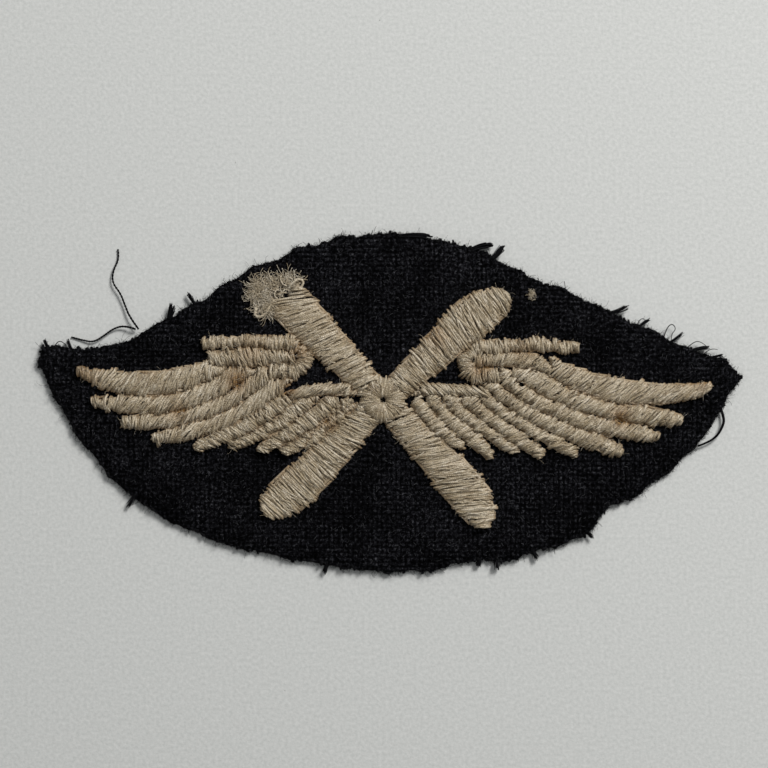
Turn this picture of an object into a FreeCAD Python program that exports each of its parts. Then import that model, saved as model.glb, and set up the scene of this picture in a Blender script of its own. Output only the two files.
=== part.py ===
import FreeCAD, Part
import math
import os
import Sketcher

# An embroidered cloth badge: a four-blade propeller between two spread wings, sewn in padded satin
# stitch on a hand-cut piece of wool cloth that a thin gauze stiffens from behind.
#
# Frame: +Z up out of the face, +X to the right wing, +Y up the badge, millimetres. The origin is under
# the middle of the cloth, on the plane that the back lies on. The embroidery is laid out about the
# propeller's hub.

# ---------------------------------------------------------------------------------------------------
# Driving dimensions
# ---------------------------------------------------------------------------------------------------

SIZES = [
    ("wing_span", 82.6, "from wing tip to wing tip"),
    ("blade_reach", 21.3, "from the hub's centre to the tip of a blade"),
    ("end_margin", 4.5, "bare cloth beyond each wing tip"),
    ("edge_margin", 7.1, "bare cloth above and below the propeller"),
    ("wool_thickness", 1.0, "the wool cloth"),
    ("gauze_thickness", 0.3, "the stiffening gauze"),
    ("gauze_inset", 2.0, "how far the gauze stays inside the cloth's edge"),
    ("satin_rise", 0.7, "height of a padded column above the cloth"),
    ("thread_layer", 0.2, "satin thread over its padding"),
    ("tip_round", 0.4, "how far a feather's end bulges"),
    ("blade_root", 1.8, "radius where the blades start, under the hub ring"),
    ("blade_tip_round", 1.0, "how far a blade's end bulges"),
    ("blade_swell", 0.25, "how far a blade's side swells between belly and tip"),
    ("hub_radius", 2.9, "outside of the hub ring"),
    ("hub_hole", 0.3, "radius of the pinhole in the hub ring"),
    ("hub_side", 0.6, "height of the hub ring's outer side"),
    ("hub_crown", 0.95, "height of the hub ring's crown"),
    ("curl_radius", 1.8, "middle of a scroll's curl"),
    ("scroll_band", 1.9, "width of a scroll"),
    ("spike_width", 1.3, "width of a scroll at its point"),
    ("scroll_bow", 0.3, "how far a scroll's top row arches"),
    ("back_depth", 0.15, "back threads pressed into the gauze"),
    ("back_inset", 0.3, "how far the back threads stay inside their column"),
    ("pass_radius", 0.2, "a bunch of threads passing through the cloth"),
    ("pass_setback", 0.7, "from a column's end to its thread pass"),
    ("strand_radius", 0.14, "a frayed strand of the wool"),
    ("strand_gap", 0.14, "between a frayed strand and the cut edge where it leaves it"),
]

# Widths of each kind of column at its root, its belly and its tip, and how far along the belly lies.
KINDS = {
    "blade": (3.4, 5.6, 3.8, 0.70),
    "bone": (1.3, 1.6, 1.2, 0.50),
    "covert": (2.0, 2.6, 1.6, 0.50),
    "leading": (2.6, 3.2, 1.4, 0.52),
    "primary": (2.2, 3.0, 1.4, 0.65),
    "secondary": (1.6, 2.3, 1.2, 0.50),
}

# Each feather in sewing order: name, kind, root about the hub (x, y), direction of its chord in degrees,
# length of its chord and how far its belly bows to the left of the chord.
FEATHERS = [
    ("right_bone", "bone", 2.0, 1.0, -1, 12.0, 0.5),
    ("right_covert", "covert", 12.0, 5.0, -5, 10.0, 1.0),
    ("right_primary_1", "leading", 21.5, 4.5, -8, 21.5, -2.0),
    ("right_primary_2", "primary", 17.0, 4.0, -17, 23.0, -1.0),
    ("right_primary_3", "primary", 15.0, 3.5, -22, 22.5, -1.0),
    ("right_primary_4", "primary", 13.5, 2.5, -28, 20.0, -0.5),
    ("right_secondary_1", "secondary", 13.0, 0.5, -32, 14.5, 0.0),
    ("right_secondary_2", "secondary", 10.5, 0.5, -37, 13.0, 0.0),
    ("right_secondary_3", "secondary", 8.0, 0.5, -38, 12.0, 0.0),
    ("right_secondary_4", "secondary", 6.0, 0.5, -44, 11.5, 0.0),
    ("right_secondary_5", "secondary", 4.0, 0.0, -44, 9.0, 0.0),
    ("left_bone", "bone", -2.0, 1.0, 182, 10.5, -0.5),
    ("left_covert", "covert", -11.5, 5.5, 180, 11.5, 0.0),
    ("left_primary_1", "primary", -20.5, 5.0, 184, 19.5, 2.0),
    ("left_primary_2", "primary", -16.5, 5.0, 194, 22.0, 2.0),
    ("left_primary_3", "primary", -14.0, 4.5, 201, 21.5, 1.5),
    ("left_primary_4", "primary", -12.0, 3.5, 206, 20.0, 1.0),
    ("left_secondary_1", "secondary", -11.0, 1.0, 208, 15.5, 0.5),
    ("left_secondary_2", "secondary", -8.5, 1.0, 212, 13.5, 0.5),
    ("left_secondary_3", "secondary", -6.0, 0.5, 215, 12.5, 0.5),
    ("left_secondary_5", "secondary", -3.0, -1.0, 217, 9.0, 0.0),
    ("left_secondary_4", "secondary", -4.0, 0.0, 217, 11.5, 0.5),
]

# Each blade: name, direction in degrees and how far its belly bows to the left of that. The propeller is
# sewn by hand, so its arms are neither square nor quite straight.
BLADES = [
    ("upper_right_blade", 41, 0.5),
    ("upper_left_blade", 134, 0.0),
    ("lower_left_blade", 224, 0.5),
    ("lower_right_blade", -49, 0.5),
]

# Each scroll: name, side it points to, its curl's centre about the hub, its spike's length and its
# tail's length under the curl.
SCROLLS = [
    ("right_scroll", 1, 12.5, 5.0, 13.0, 2.5),
    ("left_scroll", -1, -12.0, 5.5, 11.5, 3.0),
]

# The cloth's cut edge about the hub, clockwise from its left end: each corner, and, where the stretch
# to the next corner is curved, a point on that curve.
EDGE = [
    ((-45.0, 5.0), None),
    ((-44.5, 7.0), None),
    ((-37.0, 7.0), None),
    ((-31.5, 9.0), (-25.0, 12.5)),
    ((-19.0, 16.5), None),
    ((-11.0, 20.0), (0.0, 22.0)),
    ((13.0, 19.5), None),
    ((29.0, 12.0), None),
    ((38.5, 7.5), None),
    ((44.5, 5.5), None),
    ((46.5, 3.0), None),
    ((43.5, -2.0), None),
    ((41.0, -6.0), (37.0, -9.5)),
    ((33.0, -12.5), None),
    ((29.5, -14.0), None),
    ((26.0, -18.0), None),
    ((18.0, -20.5), (2.0, -22.5)),
    ((-13.0, -20.5), (-24.0, -17.5)),
    ((-33.0, -12.5), (-39.5, -5.0)),
]
STRAND_CORNER = 3   # the corner of the cut edge that the loose strands have frayed out of

# Routes of the two loose strands, from the cloth's edge outwards: x and y from that corner and height
# above the plane that the badge lies on.
STRANDS = [
    [(0.0, 0.0, 0.8), (-1.2, 1.6, 0.5), (-1.8, 3.1, 0.2), (-2.4, 4.7, 0.16), (-3.5, 6.1, 0.16),
     (-3.4, 7.7, 0.16), (-2.6, 9.3, 0.16), (-2.8, 10.5, 0.16)],
    [(-0.4, 0.0, 0.8), (-1.8, 0.5, 0.5), (-3.3, 0.1, 0.2), (-4.6, -0.9, 0.16), (-5.9, -1.7, 0.16),
     (-7.4, -1.4, 0.16), (-8.8, -1.0, 0.16)],
]
ARC_SHARE = 0.45    # share of the shorter run that an arc takes at each end of it
FULL_TURN = 360

# ---------------------------------------------------------------------------------------------------
# The sheet
# ---------------------------------------------------------------------------------------------------

def feather_tip(feather):
    _, _, x, _, angle, length, _ = feather
    return x + length * math.cos(math.radians(angle))


def sheet_rows():
    """Every named size of the badge, as (alias, value, what it is)."""
    rows = list(SIZES)
    for kind, (root, belly, tip, belly_at) in KINDS.items():
        rows += [(f"{kind}_root_width", root, f"width of a {kind} at its root"),
                 (f"{kind}_belly_width", belly, f"width of a {kind} at its belly"),
                 (f"{kind}_tip_width", tip, f"width of a {kind} at its tip"),
                 (f"{kind}_belly_at", belly_at, f"place of a {kind}'s belly along its length")]
    for name, _, x, y, angle, length, bow in FEATHERS:
        rows += [(f"{name}_x", x, "root"), (f"{name}_y", y, "root"), (f"{name}_angle", angle, "degrees"),
                 (f"{name}_length", length, "chord"), (f"{name}_bow", bow, "belly off the chord")]
    for name, angle, bow in BLADES:
        rows += [(f"{name}_angle", angle, "degrees"), (f"{name}_bow", bow, "belly off the direction")]
    for name, _, x, y, spike, tail in SCROLLS:
        rows += [(f"{name}_x", x, "curl's centre"), (f"{name}_y", y, "curl's centre"),
                 (f"{name}_spike", spike, "from the curl's centre"),
                 (f"{name}_tail", tail, "from the curl's centre")]
    for index, ((x, y), via) in enumerate(EDGE):
        rows += [(f"edge_{index}_x", x, "corner"), (f"edge_{index}_y", y, "corner")]
        if via:
            rows += [(f"edge_{index}_via_x", via[0], "on the curve"),
                     (f"edge_{index}_via_y", via[1], "on the curve")]
    points = [corner for corner, _ in EDGE] + [via for _, via in EDGE if via]
    tips = [feather_tip(feather) for feather in FEATHERS]
    rows += [("drawn_span", round(max(tips) - min(tips), 3), "wing span as the feathers are listed"),
             ("drawn_left", min(x for x, _ in points), "left end of the cut edge as listed"),
             ("drawn_right", max(x for x, _ in points), "right end of the cut edge as listed"),
             ("drawn_bottom", min(y for _, y in points), "bottom of the cut edge as listed"),
             ("drawn_top", max(y for _, y in points), "top of the cut edge as listed")]
    return rows


def fill_sheet(sheet):
    for row, (alias, value, meaning) in enumerate(sheet_rows(), start=1):
        sheet.set(f"A{row}", alias)
        sheet.set(f"B{row}", str(value))
        sheet.set(f"C{row}", meaning)
        sheet.setAlias(f"B{row}", alias)


def cell(alias):
    return f"<<sizes>>.{alias}"


doc = FreeCAD.newDocument("winged_propeller_badge")
sizes = doc.addObject("Spreadsheet::Sheet", "sizes")
fill_sheet(sizes)
doc.recompute()

# The layout grows with the wing span, and the cloth with the wing span and the propeller.
WING_GROW = f"({cell('wing_span')} / {cell('drawn_span')})"
CLOTH_HALF_X = f"({cell('wing_span')} / 2 + {cell('end_margin')})"
CLOTH_HALF_Y = f"({cell('blade_reach')} / sqrt(2) + {cell('edge_margin')})"
CLOTH_GROW_X = f"({CLOTH_HALF_X} * 2 / ({cell('drawn_right')} - {cell('drawn_left')}))"
CLOTH_GROW_Y = f"({CLOTH_HALF_Y} * 2 / ({cell('drawn_top')} - {cell('drawn_bottom')}))"
HUB_X = f"(-({cell('drawn_left')} + {cell('drawn_right')}) / 2 * {CLOTH_GROW_X})"
HUB_Y = f"(-({cell('drawn_bottom')} + {cell('drawn_top')}) / 2 * {CLOTH_GROW_Y})"
FACE_Z = f"({cell('gauze_thickness')} + {cell('wool_thickness')})"


def value_of(expression):
    return float(sizes.evalExpression(expression))


# ---------------------------------------------------------------------------------------------------
# Sketches and bodies
# ---------------------------------------------------------------------------------------------------

def new_body(name, x, y, z, angle="0"):
    """A body whose place and turn about Z are bound to the sheet."""
    body = doc.addObject("PartDesign::Body", name)
    body.Placement = FreeCAD.Placement(FreeCAD.Vector(0, 0, 0),
                                       FreeCAD.Rotation(FreeCAD.Vector(0, 0, 1), 0))
    body.Placement.Rotation.Axis = FreeCAD.Vector(0, 0, 1)
    for path, expression in (("Base.x", x), ("Base.y", y), ("Base.z", z), ("Rotation.Angle", angle)):
        body.setExpression(f"Placement.{path}", expression)
    return body


def new_sketch(body, name, role="XY_Plane"):
    sketch = body.newObject("Sketcher::SketchObject", name)
    plane = next(feature for feature in body.Origin.OriginFeatures if feature.Role == role)
    sketch.AttachmentSupport = [(plane, "")]
    sketch.MapMode = "FlatFace"
    return sketch


def pin_point(sketch, geometry, vertex, point):
    """Binds one vertex to a pair of expressions, measured from the sketch's origin."""
    for kind, expression in zip(("DistanceX", "DistanceY"), point):
        value = value_of(expression)
        index = sketch.addConstraint(Sketcher.Constraint(kind, -1, 1, geometry, vertex, value))
        sketch.setExpression(f"Constraints[{index}]", expression)


def draw_outline(sketch, stops):
    """A closed outline. Each stop is a corner, and the point that the arc to the next corner passes
    through, or None for a straight stretch. Points are pairs of expressions."""
    ends = []
    for index, (corner, via) in enumerate(stops):
        following = stops[(index + 1) % len(stops)][0]
        start = FreeCAD.Vector(*map(value_of, corner), 0)
        finish = FreeCAD.Vector(*map(value_of, following), 0)
        if via is None:
            line = sketch.addGeometry(Part.LineSegment(start, finish), False)
            ends.append(((line, 1), (line, 2)))
            continue
        middle = FreeCAD.Vector(*map(value_of, via), 0)
        turns_left = (middle - start).cross(finish - middle).z > 0
        first, last = (start, finish) if turns_left else (finish, start)
        arc = sketch.addGeometry(Part.Arc(first, middle, last), False)
        ends.append(((arc, 1), (arc, 2)) if turns_left else ((arc, 2), (arc, 1)))
        mark = sketch.addGeometry(Part.Point(middle), True)
        pin_point(sketch, mark, 1, via)
        sketch.addConstraint(Sketcher.Constraint("PointOnObject", mark, 1, arc))
    for index, (corner, _) in enumerate(stops):
        (geometry, vertex) = ends[index][0]
        (before, before_vertex) = ends[index - 1][1]
        sketch.addConstraint(Sketcher.Constraint("Coincident", before, before_vertex, geometry, vertex))
        pin_point(sketch, geometry, vertex, corner)


def pad(body, sketch, height):
    feature = body.newObject("PartDesign::Pad", f"{body.Name}_pad")
    feature.Profile = sketch
    feature.setExpression("Length", height)
    sketch.Visibility = False


# ---------------------------------------------------------------------------------------------------
# Satin columns: feathers, wing bones and propeller blades
# ---------------------------------------------------------------------------------------------------

def feather_layout(name, kind):
    """Place, direction and outline sizes of a feather, as expressions."""
    widths = {part: f"({cell(f'{kind}_{part}_width')} * {WING_GROW})" for part in ("root", "belly", "tip")}
    return {
        "x": f"{HUB_X} + {cell(f'{name}_x')} * {WING_GROW}",
        "y": f"{HUB_Y} + {cell(f'{name}_y')} * {WING_GROW}",
        "angle": cell(f"{name}_angle"),
        "start": "0",
        "reach": f"({cell(f'{name}_length')} * {WING_GROW})",
        "bow": f"({cell(f'{name}_bow')} * {WING_GROW})",
        "belly_at": cell(f"{kind}_belly_at"),
        "round": cell("tip_round"),
        "stops": feather_stops,
        **widths,
    }


def blade_layout(name):
    """Place, direction and outline sizes of a propeller blade, which turns about the hub."""
    widths = {part: cell(f"blade_{part}_width") for part in ("root", "belly", "tip")}
    return {
        "x": HUB_X, "y": HUB_Y, "angle": cell(f"{name}_angle"),
        "start": cell("blade_root"), "reach": cell("blade_reach"), "bow": cell(f"{name}_bow"),
        "belly_at": cell("blade_belly_at"), "round": cell("blade_tip_round"),
        "stops": blade_stops,
        **widths,
    }


def column_places(layout, inset):
    """Places along a column's own +X and half widths across it, drawn in by an inset."""
    near = f"({layout['start']} + {inset})"
    belly = f"({layout['start']} + ({layout['reach']} - {layout['start']}) * {layout['belly_at']})"
    far = f"({layout['reach']} - {layout['round']} - {inset})"
    end = f"({layout['reach']} - {inset})"
    half = {part: f"({layout[part]} / 2 - {inset})" for part in ("root", "belly", "tip")}
    return near, belly, far, end, half


def feather_stops(layout, inset):
    """Outline of a feather: its two sides bow through the belly, and its tip bulges."""
    near, belly, far, end, half = column_places(layout, inset)
    return [
        ((near, f"-{half['root']}"), (belly, f"{layout['bow']} - {half['belly']}")),
        ((far, f"-{half['tip']}"), (end, "0")),
        ((far, half["tip"]), (belly, f"{layout['bow']} + {half['belly']}")),
        ((near, half["root"]), None),
    ]


def blade_stops(layout, inset):
    """Outline of a blade: straight sides that widen to the belly, then swell round to the tip."""
    near, belly, far, end, half = column_places(layout, inset)
    swell_at = f"(({belly} + {far}) / 2)"
    swell = f"(({half['belly']} + {half['tip']}) / 2 + {cell('blade_swell')})"
    bow = layout["bow"]
    return [
        ((near, f"-{half['root']}"), None),
        ((belly, f"{bow} - {half['belly']}"), (swell_at, f"{bow} / 2 - {swell}")),
        ((far, f"-{half['tip']}"), (end, "0")),
        ((far, half["tip"]), (swell_at, f"{bow} / 2 + {swell}")),
        ((belly, f"{bow} + {half['belly']}"), None),
        ((near, half["root"]), None),
    ]


def column_body(name, layout, inset, z, height):
    body = new_body(name, layout["x"], layout["y"], z, layout["angle"])
    sketch = new_sketch(body, f"{name}_outline")
    draw_outline(sketch, layout["stops"](layout, inset))
    pad(body, sketch, height)
    return body


def passes_body(name, layout):
    """Two bunches of thread through gauze and wool, one near each end of a column."""
    body = new_body(name, layout["x"], layout["y"], cell("back_depth"), layout["angle"])
    body.AllowCompound = True
    sketch = new_sketch(body, f"{name}_holes")
    for place in (f"({layout['start']} + {cell('pass_setback')})",
                  f"({layout['reach']} - {cell('pass_setback')})"):
        centre = FreeCAD.Vector(value_of(place), 0, 0)
        circle = sketch.addGeometry(
            Part.Circle(centre, FreeCAD.Vector(0, 0, 1), value_of(cell("pass_radius"))), False)
        index = sketch.addConstraint(Sketcher.Constraint("Radius", circle, value_of(cell("pass_radius"))))
        sketch.setExpression(f"Constraints[{index}]", cell("pass_radius"))
        pin_point(sketch, circle, 3, (place, "0"))
    pad(body, sketch, f"{FACE_Z} - {cell('back_depth')}")
    return body


# ---------------------------------------------------------------------------------------------------
# Scrolls along the top of each wing
# ---------------------------------------------------------------------------------------------------

def scroll_stops(name, side, inset):
    """Outline of a scroll about its curl's centre: a tapering row that ends in a half ring with a
    short tail under it."""
    radius = f"({cell('curl_radius')} * {WING_GROW})"
    half_band = f"({cell('scroll_band')} / 2 * {WING_GROW} - {inset})"
    half_spike = f"({cell('spike_width')} / 2 * {WING_GROW} - {inset} / 2)"
    outer, inner = f"({radius} + {half_band})", f"({radius} - {half_band})"
    spike = f"({side} * ({cell(f'{name}_spike')} * {WING_GROW} - {inset}))"
    spike_low, spike_high = f"({radius} - {half_spike})", f"({radius} + {half_spike})"
    tail = f"({side} * ({cell(f'{name}_tail')} * {WING_GROW} - {inset}))"
    bow = f"({cell('scroll_bow')} * {WING_GROW})"
    return [
        ((tail, f"-{outer}"), None),
        ((tail, f"-{inner}"), None),
        (("0", f"-{inner}"), (f"-{side} * {inner}", "0")),
        (("0", inner), (f"{spike} / 2", f"({inner} + {spike_low}) / 2 + {bow}")),
        ((spike, spike_low), None),
        ((spike, spike_high), (f"{spike} / 2", f"({outer} + {spike_high}) / 2 + {bow}")),
        (("0", outer), (f"-{side} * {outer}", "0")),
        (("0", f"-{outer}"), None),
    ]


def scroll_body(node, name, side, inset, z, height):
    body = new_body(node, f"{HUB_X} + {cell(f'{name}_x')} * {WING_GROW}",
                    f"{HUB_Y} + {cell(f'{name}_y')} * {WING_GROW}", z)
    sketch = new_sketch(body, f"{node}_outline")
    draw_outline(sketch, scroll_stops(name, side, inset))
    pad(body, sketch, height)
    return body


# ---------------------------------------------------------------------------------------------------
# Hub ring
# ---------------------------------------------------------------------------------------------------

def hub_body(name, inset):
    """A crowned ring of radial stitches with a pinhole, or its padding when it is inset."""
    body = new_body(name, HUB_X, HUB_Y, FACE_Z)
    sketch = new_sketch(body, f"{name}_profile", "XZ_Plane")
    hole = f"({cell('hub_hole')} + {inset})"
    rim = f"({cell('hub_radius')} - {inset})"
    side = f"({cell('hub_side')} - {inset})"
    crown = f"({cell('hub_crown')} - {inset})"
    draw_outline(sketch, [
        ((hole, "0"), None),
        ((rim, "0"), None),
        ((rim, side), (f"({hole} + {rim}) / 2", crown)),
        ((hole, side), None),
    ])
    ring = body.newObject("PartDesign::Revolution", f"{name}_ring")
    ring.Profile = sketch
    ring.ReferenceAxis = (sketch, ["V_Axis"])
    ring.Angle = FULL_TURN
    sketch.Visibility = False
    return body


# ---------------------------------------------------------------------------------------------------
# Cloth, gauze and frayed strands
# ---------------------------------------------------------------------------------------------------

def edge_stops(inset):
    """The cut edge, or the same edge drawn in by an inset at the ends and at the top and bottom."""
    grow_x = f"{CLOTH_GROW_X} * (1 - {inset} / {CLOTH_HALF_X})"
    grow_y = f"{CLOTH_GROW_Y} * (1 - {inset} / {CLOTH_HALF_Y})"
    stops = []
    for index, (_, via) in enumerate(EDGE):
        corner = (f"{cell(f'edge_{index}_x')} * {grow_x}", f"{cell(f'edge_{index}_y')} * {grow_y}")
        bend = None
        if via:
            bend = (f"{cell(f'edge_{index}_via_x')} * {grow_x}", f"{cell(f'edge_{index}_via_y')} * {grow_y}")
        stops.append((corner, bend))
    return stops


def cloth_body(name, inset, z, thickness):
    body = new_body(name, HUB_X, HUB_Y, z)
    sketch = new_sketch(body, f"{name}_outline")
    draw_outline(sketch, edge_stops(inset))
    pad(body, sketch, thickness)
    return body


def rounded_path(points):
    """Straight runs joined by tangent arcs, each as large as its two runs allow."""
    edges, start = [], points[0]
    for before, corner, after in zip(points, points[1:], points[2:]):
        back, ahead = (before - corner).normalize(), (after - corner).normalize()
        reach = ARC_SHARE * min((before - corner).Length, (after - corner).Length)
        half_turn = (math.pi - back.getAngle(ahead)) / 2
        radius = reach / math.tan(half_turn)
        entry, leave = corner + back * reach, corner + ahead * reach
        centre_distance = radius / math.cos(half_turn)
        middle = corner + (back + ahead).normalize() * (centre_distance - radius)
        edges += [Part.LineSegment(start, entry).toShape(), Part.Arc(entry, middle, leave).toShape()]
        start = leave
        print(f"strand arc radius {radius:.2f} mm")
    edges.append(Part.LineSegment(start, points[-1]).toShape())
    return Part.Wire(edges)


def strand_solid(route, corner):
    radius = value_of(cell("strand_radius"))
    path = rounded_path([corner + FreeCAD.Vector(*point) for point in route])
    first = path.Edges[0]
    section = Part.Wire(Part.makeCircle(radius, first.valueAt(first.FirstParameter),
                                        first.tangentAt(first.FirstParameter)))
    tube = path.makePipeShell([section], True, False)
    expected = math.pi * radius ** 2 * path.Length
    print(f"strand length {path.Length:.2f} mm")
    print(f"strand volume over section times length {tube.Volume / expected:.4f}")
    return tube


def loose_strands():
    """Two strands frayed out of the cut edge, which lie on whatever the badge lies on."""
    corner = FreeCAD.Vector(value_of(f"{HUB_X} + {cell(f'edge_{STRAND_CORNER}_x')} * {CLOTH_GROW_X}"),
                            value_of(f"{HUB_Y} + {cell(f'edge_{STRAND_CORNER}_y')} * {CLOTH_GROW_Y}"), 0)
    clear = value_of(f"{cell('strand_radius')} + {cell('strand_gap')}")
    corner += FreeCAD.Vector(-clear, clear, 0)
    feature = doc.addObject("Part::Feature", "frayed_strands")
    feature.Shape = Part.Compound([strand_solid(route, corner) for route in STRANDS])
    return feature


# ---------------------------------------------------------------------------------------------------
# Fitting the pieces to each other
# ---------------------------------------------------------------------------------------------------

def boxes_meet(first, second):
    return first.Shape.BoundBox.intersect(second.Shape.BoundBox)


def joined(name, parts):
    if len(parts) == 1:
        return parts[0]
    feature = doc.addObject("Part::MultiFuse", name)
    feature.Shapes = parts
    return feature


def without(name, base, tools):
    """The base with every tool that comes near it cut away."""
    tools = [tool for tool in tools if boxes_meet(base, tool)]
    if not tools:
        return base
    feature = doc.addObject("Part::Cut", name)
    feature.Base = base
    feature.Tool = joined(f"{name}_tool", tools)
    return feature


def inside(name, first, second):
    feature = doc.addObject("Part::Common", name)
    feature.Base = first
    feature.Tool = second
    return feature


def grouped(name, parts):
    feature = doc.addObject("Part::Compound", name)
    feature.Links = parts
    return feature


def build_embroidery():
    """Every satin column and its padding, sewn from the hub outwards. A later column stops where it
    meets an earlier one. Returns the satin by name, and the padding, back threads and thread passes of
    the propeller and of each wing."""
    thread, rise = cell("thread_layer"), cell("satin_rise")
    columns = []
    backs = {"propeller": [], "right": [], "left": []}
    passes = []
    for name, *_ in BLADES:
        layout = blade_layout(name)
        columns.append((name, name, column_body(f"{name}_full", layout, "0", FACE_Z, rise),
                        column_body(f"{name}_core", layout, thread, FACE_Z, f"{rise} - {thread}")))
        backs["propeller"].append(
            column_body(f"{name}_back", layout, cell("back_inset"), "0", cell("back_depth")))
        passes.append(passes_body(f"{name}_passes", layout))
    for name, side, *_ in SCROLLS:
        wing = "right" if side > 0 else "left"
        columns.append((name, wing, scroll_body(f"{name}_full", name, side, "0", FACE_Z, rise),
                        scroll_body(f"{name}_core", name, side, thread, FACE_Z, f"{rise} - {thread}")))
        backs[wing].append(
            scroll_body(f"{name}_back", name, side, cell("back_inset"), "0", cell("back_depth")))
    for name, kind, *_ in FEATHERS:
        wing = name.split("_")[0]
        layout = feather_layout(name, kind)
        columns.append((name, wing, column_body(f"{name}_full", layout, "0", FACE_Z, rise),
                        column_body(f"{name}_core", layout, thread, FACE_Z, f"{rise} - {thread}")))
        backs[wing].append(
            column_body(f"{name}_back", layout, cell("back_inset"), "0", cell("back_depth")))
        passes.append(passes_body(f"{name}_passes", layout))

    hub_full, hub_core = hub_body("hub_full", "0"), hub_body("hub_core", thread)
    doc.recompute()
    satin = {"hub_ring": without("hub_ring_satin", hub_full, [hub_core])}
    padding = {"hub": [hub_core]}
    sewn = [hub_full]
    for name, group, full, core in columns:
        trimmed = without(f"{name}_trimmed", full, sewn)
        doc.recompute()
        filling = core if trimmed is full else inside(f"{name}_filling", core, trimmed)
        doc.recompute()
        satin[name] = without(f"{name}_satin", trimmed, [filling])
        padding.setdefault(group, []).append(filling)
        sewn.append(full)
    return satin, padding, backs, passes


def build_nodes():
    """Every node of the badge by name."""
    nodes, padding, backs, passes = build_embroidery()
    for group, fillings in padding.items():
        kind = f"{group}_wing_padding" if group in ("left", "right") else f"{group}_padding"
        nodes[kind] = grouped(kind, fillings)

    back_of_propeller = joined("back_of_propeller", backs["propeller"])
    doc.recompute()
    nodes["propeller_back_threads"] = back_of_propeller
    for wing in ("left", "right"):
        whole = joined(f"back_of_{wing}_wing", backs[wing])
        doc.recompute()
        nodes[f"{wing}_wing_back_threads"] = without(f"{wing}_back_trimmed", whole, [back_of_propeller])
    doc.recompute()
    thread_passes = joined("all_passes", passes)
    doc.recompute()
    nodes["thread_passes"] = thread_passes

    wool = cloth_body("wool_full", "0", cell("gauze_thickness"), cell("wool_thickness"))
    gauze = cloth_body("gauze_full", cell("gauze_inset"), "0", cell("gauze_thickness"))
    doc.recompute()
    nodes["wool_cloth"] = without("wool_pierced", wool, [thread_passes])
    back_threads = [nodes[f"{group}_back_threads"] for group in ("propeller", "left_wing", "right_wing")]
    nodes["stiffening_gauze"] = without("gauze_pierced", gauze, [thread_passes] + back_threads)
    nodes["frayed_strands"] = loose_strands()
    doc.recompute()
    return nodes


# ---------------------------------------------------------------------------------------------------
# Checks and files
# ---------------------------------------------------------------------------------------------------

def faults(nodes):
    """Everything that failed to build, in words."""
    found = [f"{item.Name}: {item.State}" for item in doc.Objects
             if "Invalid" in item.State or "Error" in item.State]
    for name, feature in nodes.items():
        if feature.Shape.isNull() or not feature.Shape.isValid() or not feature.Shape.Solids:
            found.append(f"{name}: its shape is missing or not valid")
    return found


def write_nodes(nodes):
    os.makedirs("parts", exist_ok=True)
    for name, feature in nodes.items():
        feature.Label = name
        feature.Shape.exportStep(f"parts/{name}.step")
        print(f"{name}: {len(feature.Shape.Solids)} solids, {feature.Shape.Volume:.2f} mm3")


built = build_nodes()
problems = faults(built)
if problems:
    raise RuntimeError("; ".join(problems))
write_nodes(built)
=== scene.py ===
import math
import bpy
import numpy as np
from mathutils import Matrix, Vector, kdtree
from mathutils.geometry import delaunay_2d_cdt


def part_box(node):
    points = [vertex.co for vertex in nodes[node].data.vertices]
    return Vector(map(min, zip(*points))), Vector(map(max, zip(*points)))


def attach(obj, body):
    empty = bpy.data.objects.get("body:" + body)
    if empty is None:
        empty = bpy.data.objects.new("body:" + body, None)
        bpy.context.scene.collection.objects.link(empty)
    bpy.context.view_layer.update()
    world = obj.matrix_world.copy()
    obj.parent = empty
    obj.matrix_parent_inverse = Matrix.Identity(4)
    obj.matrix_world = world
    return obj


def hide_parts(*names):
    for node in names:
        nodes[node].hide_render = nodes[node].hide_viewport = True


# An embroidered cloth badge: a propeller between two wings, in padded satin stitch on a hand-cut piece of
# napped wool, with a gauze behind it. Shapes are worked out in millimetres, and new_mesh turns them to
# metres.

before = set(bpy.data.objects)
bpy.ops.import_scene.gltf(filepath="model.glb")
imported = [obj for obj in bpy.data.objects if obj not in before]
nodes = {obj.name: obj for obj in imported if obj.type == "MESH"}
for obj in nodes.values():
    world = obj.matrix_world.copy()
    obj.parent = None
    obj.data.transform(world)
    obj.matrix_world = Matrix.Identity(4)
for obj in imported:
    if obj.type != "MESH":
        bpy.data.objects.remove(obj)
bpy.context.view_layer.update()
MM = 0.001
chance = np.random.default_rng(41)


def box_mm(node):
    lo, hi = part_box(node)
    return np.array(lo) / MM, np.array(hi) / MM


WOOL_LOW, WOOL_HIGH = box_mm("wool_cloth")
FACE = WOOL_HIGH[2]                                  # the face of the wool, which the satin is sewn on
CLOTH_BACK = WOOL_LOW[2]                             # the back of the wool, on the gauze
SATIN_TOP = box_mm("right_primary_1")[1][2]          # the flat top of every satin column's solid
SATIN_RISE = SATIN_TOP - FACE
CROWN = SATIN_RISE + 0.2                             # real thread bulges a little over its solid's flat top
HUB_LOW, HUB_HIGH = box_mm("hub_ring")
HUB = (HUB_LOW[:2] + HUB_HIGH[:2]) / 2
HUB_RADIUS = (HUB_HIGH[0] - HUB_LOW[0]) / 2
HUB_RISE = HUB_HIGH[2] - FACE

# ---- Materials ----


def tint(hex_code):
    """An sRGB hex value as linear red, green, blue and alpha."""
    parts = [int(hex_code[i:i + 2], 16) / 255 for i in (1, 3, 5)]
    return tuple(c / 12.92 if c <= 0.04045 else ((c + 0.055) / 1.055) ** 2.4 for c in parts) + (1.0,)


def add(tree, kind, links=None, **settings):
    """Adds a node. A setting sets the node's own property of that name, or else its input, with a space
    for each underscore."""
    made = tree.nodes.new(kind)
    for name, value in settings.items():
        if hasattr(made, name):
            setattr(made, name, value)
    for name, value in settings.items():
        if not hasattr(made, name):
            made.inputs[name.replace("_", " ")].default_value = value
    for name, source in (links or {}).items():
        tree.links.new(source, made.inputs[name])
    return made


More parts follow.
